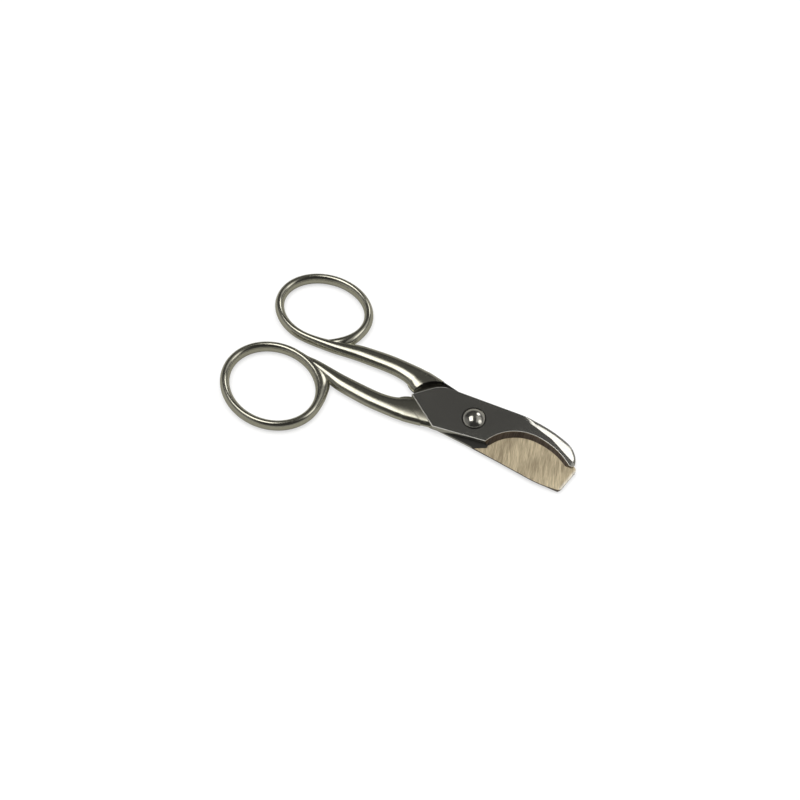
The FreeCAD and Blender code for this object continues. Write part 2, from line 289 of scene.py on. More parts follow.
def ring_stations(half, side):
    """Stations round the bow, from the tail of the shank right round to the weld."""
    (centre_x, centre_y), (long_half, short_half), tilt, spread = BOWS[half]
    tilt = math.radians(tilt)
    stations = []
    for turned in range(0, 360, RING_STEP):
        angle = -math.pi / 2 - math.radians(turned)
        out_x, out_y = math.cos(angle) / long_half, math.sin(angle) / short_half
        out = math.hypot(out_x, out_y)
        shift = spread * math.exp(-((turned - WELD_TURN) / WELD_REACH) ** 2)
        half_width, half_height = RING_HALF_WIDTH + shift, TALL
        if half == "back" and turned in WELD_HEIGHTS:
            half_height = WELD_HEIGHTS[turned]
            half_width = half_width * half_height / TALL
        x = long_half * math.cos(angle) + shift * out_x / out
        y = side * (short_half * math.sin(angle) + shift * out_y / out)
        stations.append((
            centre_x + x * math.cos(tilt) - y * math.sin(tilt),
            centre_y + x * math.sin(tilt) + y * math.cos(tilt),
            half_width, half_height, RING_SQUARENESS, side * WELD_LEAN * shift / half_width,
        ))
    return stations


def handle_stations(half, side):
    """The open bar that carries the shank, with its bow if the two are one run."""
    shank = [(x, side * y, *rest) for x, y, *rest in SHANK + TAILS[half]]
    return shank + (ring_stations(half, side) if half == "back" else [])


for half, side in HALVES:
    print(half, "handle has", len(handle_stations(half, side)), "stations")

# %% [markdown]
# ## From stations to a handle
# Each set of stations becomes a line of points with named widths, and the tree turns it into a
# bar. The front bow is a line that closes on itself. The front shank keeps its upper half past
# the shoulder, because the plate on top of it carries it to the rivet; the back shank keeps its
# lower half. So each half has a full bar that stops at the shoulder wall, and a root that is cut
# flat at the level of the sliding faces.

# %% Make bars from stations
def station_line(name, stations, closed):
    """A line of points with a width, height, squareness and lean at each."""
    mesh = bpy.data.meshes.new(name)
    points = [(x * MM, y * MM, MIDDLE * MM) for x, y, *_ in stations]
    last = len(points) - 1
    links = [(i, i + 1) for i in range(last)] + ([(last, 0)] if closed else [])
    mesh.from_pydata(points, links, [])
    for column, (label, unit) in enumerate(zip(STATION_COLUMNS, (MM, MM, 1.0, 1.0)), start=2):
        attribute = mesh.attributes.new(label, "FLOAT", "POINT")
        attribute.data.foreach_set("value", [row[column] * unit for row in stations])
    return mesh


def frozen(thing):
    """The evaluated object as a plain mesh, without its modifiers."""
    graph = bpy.context.evaluated_depsgraph_get()
    graph.update()
    return bpy.data.meshes.new_from_object(thing.evaluated_get(graph))


def socket_id(tree, name):
    return next(item.identifier for item in tree.interface.items_tree if item.name == name)


def bar_mesh(name, stations, material, closed=False, **sizes):
    """Run the bar tree on a line of stations and return the mesh."""
    thing = bpy.data.objects.new(name, station_line(name, stations, closed))
    bpy.context.scene.collection.objects.link(thing)
    modifier = thing.modifiers.new("bar", "NODES")
    modifier.node_group = bar_nodes
    modifier[socket_id(bar_nodes, "Material")] = material
    modifier[socket_id(bar_nodes, "Closed")] = float(closed)
    for label, value in sizes.items():
        modifier[socket_id(bar_nodes, label)] = value
    mesh = frozen(thing)
    bpy.data.objects.remove(thing)
    # one material in one slot
    mesh.materials.clear()
    mesh.materials.append(material)
    mesh.polygons.foreach_set("material_index", [0] * len(mesh.polygons))
    print(name, "wears", material.name, "on", len(mesh.polygons), "faces")
    return mesh


print("bar maker ready")

# %% [markdown]
# ## The blades
# A blade is ground from a flat plate. Its outline is drawn by straight runs and arcs, and its
# faces follow rules: a hollow here, a bevel there, a rounded spine. Cutting those out of a box
# would leave raw edges, so the blade is skinned through cross-sections instead. Each section
# goes once round the blade at one x, and its points crowd at the edges, where a small rounding
# catches the light.

# %% Outlines as functions of x
def arc_points(start, end, radius, bulge, count=40):
    """Points from start to end on an arc; bulge is 1 where it bulges to the left of the way."""
    start, end = np.array(start, float), np.array(end, float)
    half_chord = (end - start) / 2
    reach = np.hypot(*half_chord)
    left = np.array([-half_chord[1], half_chord[0]]) / reach
    centre = start + half_chord - bulge * left * math.sqrt(radius ** 2 - reach ** 2)
    first, last = (np.arctan2(*(point - centre)[::-1]) for point in (start, end))
    sweep = (last - first + math.pi) % (2 * math.pi) - math.pi
    angles = first + sweep * np.linspace(0, 1, count)
    return centre + radius * np.stack([np.cos(angles), np.sin(angles)], 1)


def run_line(*pieces):
    """Join corners and arcs into one run of points with x rising."""
    points = np.concatenate([np.atleast_2d(np.array(piece, float)) for piece in pieces])
    keep = np.concatenate([[True], np.diff(points[:, 0]) > 1e-6])
    return points[keep]


def along_line(line, x):
    return np.interp(x, line[:, 0], line[:, 1])


front_upper = run_line(
    (-20.4, -0.9),
    arc_points((-15.2, 4.3), (-10.0, 6.2), 7.5, 1),
    arc_points((13.0, 7.6), (27.7, 5.9), 40.0, 1),
    arc_points((27.7, 5.9), (32.8, -0.1), 7.8, 1),
)
front_lower = run_line((-20.4, -0.9), (-10.0, -8.05), (10.0, -4.9), (32.3, -1.2), (32.8, -0.1))
back_upper = run_line(
    (-20.9, 0.2), (-10.0, 7.4), (5.0, 6.0),
    arc_points((5.0, 6.0), (20.0, 4.4), 60.0, 1),
    arc_points((20.0, 4.4), (32.5, -0.4), 38.0, 1),
    arc_points((32.5, -0.4), (33.6, -2.6), 1.6, 1),
)
back_lower = run_line(
    (-20.9, 0.2),
    arc_points((-15.2, -4.3), (-9.0, -7.5), 9.0, -1),
    (1.0, -7.9),
    arc_points((23.0, -9.95), (30.9, -9.6), 40.0, -1),
    arc_points((30.9, -9.6), (32.2, -8.5), 1.3, -1),
    (33.6, -2.6),
)
print("front blade spans", front_upper[0], "to", front_upper[-1])

# %% The trimming notch
NOTCH_CROWN = (19.1, 1.95)
NOTCH_HEEL_RADIUS = 12.85
NOTCH_TIP_RADIUS = 20.3
NOTCH_BEVEL = 1.15


def notch_line(x, spread):
    """The curved edge at x, with both radii grown by spread."""
    x = np.asarray(x, float)
    radius = np.where(x < NOTCH_CROWN[0], NOTCH_HEEL_RADIUS, NOTCH_TIP_RADIUS)
    square = (radius + spread) ** 2 - (x - NOTCH_CROWN[0]) ** 2
    edge = NOTCH_CROWN[1] - radius + np.sqrt(np.maximum(square, 0))
    return np.where(square > 0, edge, -99.0)


print("notch crown at", NOTCH_CROWN)

# %% [markdown]
# The sections are joined into one closed skin. Neighbouring sections have the same number of
# points, so the faces are clean four-sided strips, and the small values stored at the points
# tell the materials where an edge or a bevel is, which gets a painted highlight.

# %% Skin a blade through its sections
def skin(name, sections, labels, materials, slot=0):
    """Closed mesh through sections of equal length; labels holds one value per point.

    Each row of faces has one face for each step round a section, in the same order."""
    sections = np.array(sections)
    rows, around = sections.shape[:2]
    points = sections.reshape(-1, 3) * MM
    faces = []
    for row in range(rows - 1):
        for step in range(around):
            following = (step + 1) % around
            faces.append((row * around + step, (row + 1) * around + step,
                          (row + 1) * around + following, row * around + following))
    mesh = bpy.data.meshes.new(name)
    mesh.from_pydata(points.tolist(), [], faces)
    for material in materials:
        mesh.materials.append(material)
    mesh.polygons.foreach_set("material_index", [slot] * len(faces))
    for label, values in labels.items():
        attribute = mesh.attributes.new(label, "FLOAT", "POINT")
        attribute.data.foreach_set("value", np.array(values, float).reshape(-1))
    return mesh


SEAM = 3e-7  # metres
CREASE = math.radians(38)


def finished_mesh(mesh):
    """Close the seams, point the faces outwards, and keep the creases sharp."""
    shape = bmesh.new()
    shape.from_mesh(mesh)
    bmesh.ops.remove_doubles(shape, verts=shape.verts, dist=SEAM)
    bmesh.ops.dissolve_degenerate(shape, edges=shape.edges, dist=SEAM)
    bmesh.ops.recalc_face_normals(shape, faces=shape.faces)
    shape.to_mesh(mesh)
    shape.free()
    mesh.polygons.foreach_set("use_smooth", [True] * len(mesh.polygons))
    mesh.set_sharp_from_angle(angle=CREASE)
    return mesh


def piece(name, meshes, body, cad_node, slot):
    """One finished object from one or more meshes, riding on its body in place of its CAD node."""
    joined = bmesh.new()
    materials = []
    for mesh in meshes:
        start = len(joined.faces)
        joined.from_mesh(mesh)
        joined.faces.ensure_lookup_table()
        materials += [material for material in mesh.materials if material not in materials]
        slots = [materials.index(material) for material in mesh.materials]
        for face in joined.faces[start:]:
            face.material_index = slots[face.material_index]
    whole = bpy.data.meshes.new(name)
    joined.to_mesh(whole)
    joined.free()
    for material in materials:
        whole.materials.append(material)
    thing = bpy.data.objects.new(name, finished_mesh(whole))
    bpy.context.scene.collection.objects.link(thing)
    even = thing.modifiers.new("even shading", "WEIGHTED_NORMAL")
    even.keep_sharp = True
    shaded = frozen(thing)
    thing.modifiers.clear()
    thing.data = shaded
    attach(thing, body)
    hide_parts(cad_node)
    print(name, "has", sum(len(p.vertices) - 2 for p in shaded.polygons), "triangles")
    return thing


print("skin and piece makers ready")

# %% [markdown]
# ## Finishes
# The forging is nickel plated and buffed, so it mirrors the room with a slightly warm tint. The
# buffing wheel leaves hair lines, and fingers leave faint smudges. The back blade's inner face
# and the notch are ground after plating, so bare steel shows there with lines across the blade.
# These effects are shared, so each is a node group that gives a mask; the shader stays outside.

# %% Shared effect groups
def effect_group(name, inputs, build):
    """A shader group with one output called Mask; build gets the tree and the input sockets."""
    tree = bpy.data.node_groups.new(name, "ShaderNodeTree")
    for label, (kind, default) in inputs.items():
        socket = tree.interface.new_socket(label, in_out="INPUT", socket_type=kind)
        socket.default_value = default
    tree.interface.new_socket("Mask", in_out="OUTPUT", socket_type="NodeSocketFloat")
    sockets = node(tree, "NodeGroupInput").outputs
    node(tree, "NodeGroupOutput", {"Mask": build(tree, sockets)})
    return tree


def stretched_noise(tree, sockets):
    """Noise with its own pitch along each axis, so that it makes lines or clouds."""
    spot = vector_maths(tree, "MULTIPLY", sockets["Spot"], sockets["Lines Per Metre"])
    noise = node(tree, "ShaderNodeTexNoise", {
        "Vector": spot, "Scale": 1.0, "Detail": 3.0, "Roughness": sockets["Sharpness"],
    }).outputs["Fac"]
    return node(tree, "ShaderNodeMapRange", {
        0: noise, 1: 0.3, 2: 0.7, 3: 0.0, 4: 1.0,
    }).outputs[0]


def painted_edge_highlight(tree, sockets):
    """A painted highlight along the rounded edges, broken up a little by noise."""
    edge = node(tree, "ShaderNodeAttribute", attribute_name="edge").outputs["Fac"]
    noise = node(tree, "ShaderNodeTexNoise", {
        "Vector": sockets["Spot"], "Scale": sockets["Scale"], "Detail": 2.0,
    })
    patchy = maths(tree, "MULTIPLY_ADD", noise.outputs["Fac"], 0.6, 0.6)
    return maths(tree, "MINIMUM", maths(tree, "MULTIPLY", edge, patchy), 1.0)


def painted_ring_shadow(tree, sockets):
    """A soft dark ring round the rivet: a painted contact shadow beside the rivet's head."""
    part = node(tree, "ShaderNodeSeparateXYZ", {0: sockets["Spot"]})
    flat = node(tree, "ShaderNodeCombineXYZ", {"X": part.outputs["X"], "Y": part.outputs["Y"]})
    length = vector_maths(tree, "LENGTH", flat.outputs["Vector"], result="Value")
    gap = maths(tree, "ABSOLUTE", maths(tree, "SUBTRACT", length, sockets["Radius"]))
    return eased(tree, gap, 0.0, sockets["Width"], 1.0, 0.0)


marks = effect_group("fine marks", {
    "Spot": ("NodeSocketVector", (0, 0, 0)),
    "Lines Per Metre": ("NodeSocketVector", (1000, 1000, 1000)),
    "Sharpness": ("NodeSocketFloat", 0.6),
}, stretched_noise)
# a painted highlight along the rounded edges
edge_highlight_group = effect_group("painted edge highlight", {
    "Spot": ("NodeSocketVector", (0, 0, 0)),
    "Scale": ("NodeSocketFloat", 600.0),
}, painted_edge_highlight)
# a painted contact shadow ring round the rivet
ring_shadow_group = effect_group("painted ring shadow", {
    "Spot": ("NodeSocketVector", (0, 0, 0)),
    "Radius": ("NodeSocketFloat", 0.0035),
    "Width": ("NodeSocketFloat", 0.0003),
}, painted_ring_shadow)
print("effect groups:", [tree.name for tree in (marks, edge_highlight_group, ring_shadow_group)])

# %% One metal finish
# painted highlight: the pale colour of the rounded edges
EDGE_HIGHLIGHT = (0.86, 0.85, 0.8, 1)
# painted shadow: the near-black of the ring round the rivet
RING_SHADOW_BLACK = (0.02, 0.02, 0.018, 1)
# painted shade: the black for the back blade's inner face short of the ground line, in the front blade's
# shade
SHADE_BLACK = (0.035, 0.034, 0.031, 1)
# size of the painted shadow ring round the rivet
SHADOW_RING_RADIUS, SHADOW_RING_WIDTH = 0.0035, 0.00034  # metres
SHADE_BLUR = 0.00012  # metres either side of the line where the painted black shade stops


def metal(name, colour, dull, rough, lines, line_strength, ring_shadowed=False, along_bar=False,
          smudge=0.35, line_rough=0.08, relief=2e-6, line_turn=0.0, cross_turn=None, unground_shade=None,
          highlight_share=0.6, metallic=1.0):
    """Metal with a clean and a dull colour, lines of a given pitch, smudges and painted edge highlights.

    Lines can be crossed by a second set, as when a hand tool is moved over a face both ways.
    unground is (direction, offset, limit): short of that straight line, and of that x, the face
    was never ground, and there its colour is painted black as the shade under the other blade."""
    material = bpy.data.materials.new(name)
    material.use_nodes = True
    tree = material.node_tree
    tree.nodes.clear()
    spot = node(tree, "ShaderNodeTexCoord").outputs["Object"]
    line_spot = spot
    if along_bar:
        along = node(tree, "ShaderNodeAttribute", attribute_name="along").outputs["Fac"]
        part = node(tree, "ShaderNodeSeparateXYZ", {0: spot})
        line_spot = node(tree, "ShaderNodeCombineXYZ", {"X": along, "Y": part.outputs["Z"]})
        line_spot = line_spot.outputs["Vector"]

    def mask(group, **inputs):
        named = {label.replace("_", " "): value for label, value in inputs.items()}
        return node(tree, "ShaderNodeGroup", named, node_tree=group).outputs["Mask"]

    def lined(turn):
        turned = node(tree, "ShaderNodeMapping", {
            "Vector": line_spot, "Rotation": (0.0, 0.0, math.radians(turn)),
        }).outputs["Vector"]
        return mask(marks, Spot=turned, Lines_Per_Metre=lines, Sharpness=0.65)

    line = lined(line_turn)
    if cross_turn is not None:
        line = maths(tree, "MULTIPLY", maths(tree, "ADD", line, lined(cross_turn)), 0.5)
    cloud = mask(marks, Spot=spot, Lines_Per_Metre=(120, 120, 120), Sharpness=0.5)
    # painted highlight along the rounded edges
    edge = mask(edge_highlight_group, Spot=spot)
    dullness = maths(tree, "ADD", maths(tree, "MULTIPLY", line, line_strength),
                     maths(tree, "MULTIPLY", cloud, smudge))
    tint = ramp(tree, dullness, colour, dull)
    tint = mixed_colour(tree, maths(tree, "MULTIPLY", edge, highlight_share), tint, EDGE_HIGHLIGHT)
    # a painted contact shadow ring round the rivet's head
    if ring_shadowed:
        ring = mask(ring_shadow_group, Spot=spot, Radius=SHADOW_RING_RADIUS, Width=SHADOW_RING_WIDTH)
        tint = mixed_colour(tree, ring, tint, RING_SHADOW_BLACK)
    roughness = maths(tree, "ADD", maths(tree, "MULTIPLY_ADD", line, line_rough, rough),
                      maths(tree, "MULTIPLY", cloud, 0.05))
    # short of the ground line the colour is painted black as shade
    if unground_shade:
        direction, offset, limit = unground_shade
        beyond = vector_maths(tree, "DOT_PRODUCT", spot, direction, result="Value")
        black_shade = eased(tree, beyond, offset - SHADE_BLUR, offset + SHADE_BLUR, 1.0, 0.0)
        x = node(tree, "ShaderNodeSeparateXYZ", {0: spot}).outputs["X"]
        black_shade = maths(tree, "MULTIPLY", black_shade, eased(tree, x, limit, limit + 0.0004, 1.0, 0.0))
        tint = mixed_colour(tree, black_shade, tint, SHADE_BLACK)
    bump = node(tree, "ShaderNodeBump", {"Height": line, "Distance": relief, "Strength": 1.0})
    shader = node(tree, "ShaderNodeBsdfPrincipled", {
        "Base Color": tint,
        # at the painted edge highlight the metal is less metallic and pale
        "Metallic": maths(tree, "MULTIPLY_ADD", edge, -0.6 * metallic, metallic),
        "Roughness": roughness,
        "Normal": bump.outputs["Normal"],
    })
    node(tree, "ShaderNodeOutputMaterial", {"Surface": shader.outputs["BSDF"]})
    return material


buffed_bar = metal(
    "buffed nickel bar", (0.67, 0.66, 0.565), (0.50, 0.485, 0.40), 0.12,
    lines=(2600, 300, 1), line_strength=0.35, along_bar=True, relief=1.2e-6,
)
# the flat carries the painted shadow ring round the rivet
buffed_flat = metal(
    "buffed nickel flat", (0.60, 0.595, 0.56), (0.50, 0.49, 0.455), 0.12,
    lines=(500, 3200, 500), line_strength=0.25, ring_shadowed=True, relief=6e-7,
)
# the back blade's inner face; short of the given line and x it is painted black as shade
ground_face = metal(
    "ground steel face", (0.92, 0.79, 0.54), (0.32, 0.26, 0.17), 0.36, metallic=0.5,
    lines=(2300, 170, 2300), line_strength=0.95, line_rough=0.12, relief=1.4e-5,
    line_turn=-24, cross_turn=-11, unground_shade=((0.496, -0.868, 0.0), 0.00912, 0.0071),
)
# painted reflection: a dark copy of the ground steel for the notch bevel and the back blade's lower side,
# standing for the dark room they mirror
dark_ground_bevel = metal(
    "ground steel bevel painted dark", (0.28, 0.24, 0.21), (0.10, 0.08, 0.07), 0.3,
    lines=(2600, 200, 120), line_strength=0.6, line_rough=0.1, relief=6e-6,
)
# painted shade: a near-black finish for the shoulder walls, the end of the back root and the back blade's
# inner face behind the rivet, which lie in shade in the corner by the rivet
painted_shade_black = metal(
    "painted black shade", (0.05, 0.048, 0.044), (0.025, 0.024, 0.022), 0.42,
    lines=(1500, 1500, 1500), line_strength=0.6, relief=8e-6, highlight_share=0.15,
)
rivet_metal = metal(
    "buffed nickel rivet", (0.70, 0.69, 0.64), (0.56, 0.55, 0.5), 0.09,
    lines=(900, 900, 900), line_strength=0.2, relief=5e-7,
)
print("finishes:", [material.name for material in bpy.data.materials if material.use_nodes])

# %% [markdown]
# ## The handles
# Now the tree makes five bars: a full bar and a root for each half, and the front bow. The
# shoulder arc belongs to the other half's blade, so its centre is on the other side of the
# middle line. The shoulder walls and the end of the back root, which lies in the corner beside
# the rivet, are painted black: painted shade in that corner.

# %% Make the handles
SHOULDER = {"x": -9.9, "y": 3.5, "radius": 11.75, "limit": -13.93}
ARRIS = {"back": 0.14, "front": 0.001}  # rounding where a bar meets its wall
ROOT = [  # x, distance from the middle line, half width, half height
    (-7.0, 2.75, 4.30, 1.84), (-12.0, 3.60, 4.43, 1.84), (-16.0, 4.35, 4.46, 1.84),
    (-20.0, 5.20, 4.34, 1.84), (-22.5, 6.00, 3.70, 1.90), (-25.0, 6.52, 3.18, 1.96),
]
ROOT_ROWS, BOW_ROWS = 90, 400
ROOT_SHAPE = (2.0, 0.0)  # squareness and lean
ROOT_INSET = 0.02  # keeps the root inside the full bar
ROOT_GAP = 0.01  # from the cut of the root to the sliding face
WALL_SKIN = 0.13  # faces this close to the shoulder arc make up the wall
# from this x on, the back root is painted black as shade
ROOT_SHADE_FROM = -14.2
bars = {}
for half, side in HALVES:
    full = bar_mesh(
        f"{half}_bar", handle_stations(half, side), buffed_bar,
        **{
            "Shoulder X": SHOULDER["x"] * MM,
            "Shoulder Y": -side * SHOULDER["y"] * MM,
            "Shoulder Radius": SHOULDER["radius"] * MM,
            "Shoulder Limit": SHOULDER["limit"] * MM,
            "Arris": ARRIS[half] * MM,
        },
    )
    # faces at the shoulder wall get the painted black shade
    full.materials.append(painted_shade_black)
    for face in full.polygons:
        x, y, z = face.center / MM
        inside = max(0.0, SHOULDER["radius"] ** 2 - (y + side * SHOULDER["y"]) ** 2)
        at_wall = x > min(SHOULDER["limit"], SHOULDER["x"] - math.sqrt(inside)) - WALL_SKIN
        if at_wall and (z > BACK_FACE if half == "back" else z < FRONT_FACE):
            face.material_index = 1
    if half == "back":
        cut = {"Highest": (BACK_FACE - ROOT_GAP) * MM}
    else:
        cut = {"Lowest": (FRONT_FACE + ROOT_GAP) * MM}
    root = bar_mesh(
        f"{half}_root", [(x, side * y, *rest, *ROOT_SHAPE) for x, y, *rest in ROOT], buffed_bar,
        **{"Rows": ROOT_ROWS, "Inset": ROOT_INSET * MM, "Arris": 1e-7, **cut},
    )
    bars[half] = [full, root]
    print(half, "bar points:", len(full.vertices), "root points:", len(root.vertices))
front_bow = bar_mesh("front_bow", ring_stations("front", -1), buffed_bar, closed=True, Rows=BOW_ROWS)
bars["front"].append(front_bow)
# the end of the back root, in the corner beside the rivet, gets the painted black shade
back_root = bars["back"][1]
back_root.materials.append(painted_shade_black)
for face in back_root.polygons:
    if face.center.x / MM > ROOT_SHADE_FROM:
        face.material_index = 1

# %% [markdown]
# ## The front blade
# The front half's blade carries the notch. It is 2 mm thick at the rivet, thins towards the
# tip, and its spine is rolled over towards the tip so that it doesn't catch on the glass of a
# lamp. The notch has a bevel down to its cutting edge, which lies on the back blade.

# %% Front blade
THIN_FROM, THIN_LENGTH = 10.0, 22.8
THIN_AT_TIP = 1.0
NOSE_FROM, NOSE_LENGTH, NOSE_DROP = 31.6, 1.2, 0.3
HEEL_FROM, HEEL_LENGTH = -10.5, 1.5  # behind the rivet, where the spine's edge is rounder
ROLL_FROM, ROLL_GROWTH = 13.0, 4.0  # the roll of the spine starts here and grows for this long
ROLL_SLOPE = math.radians(13.0)
NOTCH_ARRIS = 0.22
SPINE_ROUNDING = 0.25
LEAST_SPINE = 0.25  # height that the roll leaves at the spine
ROLL_LINE = np.array([  # x, y where the rolled spine begins
    (12.5, 7.35), (14.0, 6.5), (16.0, 6.0), (18.0, 5.6), (20.0, 5.05), (23.5, 4.2),
    (26.0, 3.0), (28.5, 1.75), (31.0, 0.6), (32.8, -0.1),
])
FLAT_STEPS = (0.015, 0.08, 0.22, 0.4, 0.6, 0.8, 0.93, 0.985)
ROLL_STEPS = (0.0, 0.04, 0.14, 0.28, 0.42, 0.56, 0.68, 0.78, 0.86, 0.92, 0.965, 1.0)
ROUND_STEPS = np.linspace(0, math.pi / 2, 5)


def front_section(x):
    """(x, y, z) points once round the front blade, and their edge values, which place a painted highlight.
    """
    thin = THIN_AT_TIP * (max(0.0, x - THIN_FROM) / THIN_LENGTH) ** 1.5
    thin += NOSE_DROP * max(0.0, (x - NOSE_FROM) / NOSE_LENGTH) ** 2
    top = TOP_FACE - thin
    level = (top - FRONT_FACE) / PLATE
    spine = float(along_line(front_upper, x))
    line = float(along_line(front_lower, x))
    foot = min(max(line, float(notch_line(x, 0.0))), spine)
    crest = min(max(line, float(notch_line(x, NOTCH_BEVEL * level))), spine)
    room = spine - crest
    arris = min(NOTCH_ARRIS, room / 4)
    heel = min(1.0, max(0.0, (HEEL_FROM - x) / HEEL_LENGTH))
    rounding = SPINE_ROUNDING * (1 + heel)
    roll_start = float(along_line(ROLL_LINE, x)) if x > ROLL_LINE[0, 0] else spine - rounding
    roll_start = max(min(roll_start, spine - rounding), crest + arris)
    roll_start = min(roll_start, spine)
    wide = spine - roll_start
    grown = min(1.0, max(0.0, (x - ROLL_FROM) / ROLL_GROWTH))
    slope = math.tan(ROLL_SLOPE) * grown
    shoulder = min(1.0, wide) * grown
    steep = 0.11 + 0.09 * shoulder
    drop = min(steep + slope * wide, top - FRONT_FACE - LEAST_SPINE)
    steep = max(drop - slope * wide, 0.1)
    shoulder = max(shoulder, rounding)
    points, edges = [], []

    def put(y, z, edge=0.0):
        points.append((x, y, max(z, FRONT_FACE)))
        edges.append(edge)

    for share in np.linspace(0, 1, 7):
        put(spine + (foot - spine) * share, FRONT_FACE)
    for share in (0.3, 0.65):
        put(foot + (crest - foot) * share, FRONT_FACE + (top - arris - FRONT_FACE) * share)
    for angle in ROUND_STEPS:
        put(crest + arris * (1 - math.cos(angle)), top - arris * (1 - math.sin(angle)),
            math.sin(2 * angle) * (1 - 0.6 * heel))
    start = crest + arris
    for share in FLAT_STEPS:
        put(start + (roll_start - start) * share, top)
    for share in ROLL_STEPS:
        over = max(0.0, 1 - (1 - share) * wide / shoulder) if wide else 1.0
        put(roll_start + wide * share, top - slope * wide * share - steep * over ** 1.15,
            max(0.0, 1 - abs(share - 0.8) / 0.3) * heel)
    for share in (0.33, 0.66):
        put(spine, top - drop + (FRONT_FACE - top + drop) * share)
    return points, edges


def stations_between(first, last, *lines):
    """x values from first to last, close together at the ends and where the outline bends."""
    step = np.array([0.0, 0.008, 0.03, 0.07, 0.12, 0.2, 0.3, 0.42, 0.56, 0.74, 0.95])
    values = np.concatenate([
        np.arange(first, last, 0.3), first + step, last - step, *[line[:, 0] for line in lines],
    ])
    values = np.unique(np.round(values[(values >= first) & (values <= last)], 4))
    return values[np.concatenate([[True], np.diff(values) > 0.004])]


def closed_sections(values, section):
    """Sections at the values, closed at both ends by one collapsed on to its own middle."""
    pairs = [section(float(x)) for x in values]
    for place in (0, -1):
        points, edges = pairs[place]
        middle = tuple(np.mean(points, axis=0))
        pair = ([middle] * len(points), [0.0] * len(edges))
        pairs.insert(0, pair) if place == 0 else pairs.append(pair)
    return [points for points, _ in pairs], [edges for _, edges in pairs]


NOTCH_WALL = range(6, 9)  # steps round a section that climb the wall of the notch
NOTCH_FROM = 6.3
front_x = stations_between(-20.4, 32.8, front_upper, front_lower,
                           np.array([[6.0 + 0.1 * i, 0] for i in range(20)]),
                           np.array([[30.0 + 0.1 * i, 0] for i in range(24)]))
front_points, front_edges = closed_sections(front_x, front_section)
front_blade = skin("front_blade", front_points, {"edge": front_edges},
                   [buffed_flat, dark_ground_bevel])
# the notch bevel gets the ground steel painted dark, as a painted dark reflection
for face in front_blade.polygons:
    centre = face.center / MM
    on_notch = centre.x > NOTCH_FROM and centre.z < TOP_FACE - 0.02
    near = centre.y < float(notch_line(centre.x, NOTCH_BEVEL))
    wall = face.index % len(front_edges[0]) in NOTCH_WALL
    if on_notch and wall and near:
        face.material_index = 1
print("front blade has", len(front_x), "sections")

# %% [markdown]
# ## The back blade
# The back half's blade is the anvil that the notch cuts against. Its inner face is ground
# slightly hollow so that only the edges touch, and its outer face has a relief bevel along the
# lower edge and the square end. The inner face is ground only from just beyond the rivet to
# the end; behind that it is painted black, as painted shade under the front blade.

# %% Back blade
RELIEF_WIDTH = 1.1
RELIEF_HEIGHT = 1.4
HOLLOW = 0.05
END_BEVEL = 0.8
EDGE_HEADING = math.radians(-3.8)  # along the lower edge, from x -9 onwards
END_HEADING = math.radians(76.6)  # up the straight end


def relief_at(x, y):
    """Height of the outer face: 0, rising to the relief height at the lower edge and the end."""
    low = -(x + 9.0) * math.sin(EDGE_HEADING) + (y + 7.5) * math.cos(EDGE_HEADING)
    start = min(1.0, max(0.0, (x + 11.5) / 2.0))
    rise = max(start * (1 - low / RELIEF_WIDTH), 1 - end_distance(x, y) / RELIEF_WIDTH)
    return RELIEF_HEIGHT * min(1.0, max(0.0, rise))


def end_distance(x, y):
    """Distance from the straight end of the blade."""
    return -(x - 32.2) * math.sin(END_HEADING) + (y + 8.5) * math.cos(END_HEADING)


def back_section(x):
    upper = float(along_line(back_upper, x))
    lower = min(float(along_line(back_lower, x)), upper)
    room = upper - lower
    arris = min(0.08, room / 5)
    points, edges = [], []

    def put(y, z, edge=0.0):
        points.append((x, y, z))
        edges.append(edge)

    near = min(1.3, room / 2)
    for share in np.linspace(0, 1, 7):
        y = upper + (lower + near - upper) * share
        put(y, relief_at(x, y))
    for share in (0.85, 0.8, 0.6, 0.4, 0.2, 0.08, 0.0):
        y = lower + near * share
        put(y, min(relief_at(x, y), BACK_FACE - arris))
    base = points[-1][2]
    put(lower, base + (BACK_FACE - arris - base) * 0.5)
    for angle in ROUND_STEPS:
        put(lower + arris * (1 - math.cos(angle)), BACK_FACE - arris * (1 - math.sin(angle)))
    for share in (0.02, 0.1, 0.2, 0.35, 0.5, 0.65, 0.8, 0.9, 0.98):
        hollow = HOLLOW * math.sin(math.pi * share) ** 2 * min(1.0, max(0.0, (x - 2.0) / 6.0))
        y = lower + arris + (room - 1.3 * arris) * share
        # the end bevel is cut down and gets a painted highlight through its edge value
        ground_off = min(1.0, max(0.0, 1 - end_distance(x, y) / END_BEVEL)) if y < -1.0 else 0.0
        put(y, BACK_FACE - hollow - 0.2 * ground_off, min(1.0, 1.6 * ground_off))
    # the upper edge gets a faint painted highlight
    put(upper - 0.1 * arris, BACK_FACE, 0.3)
    put(upper, BACK_FACE - 0.3 * arris, 0.3)
    put(upper, BACK_FACE * 0.5)
    return points, edges


INNER_STEP = 15  # steps round a section from here on are the inner face
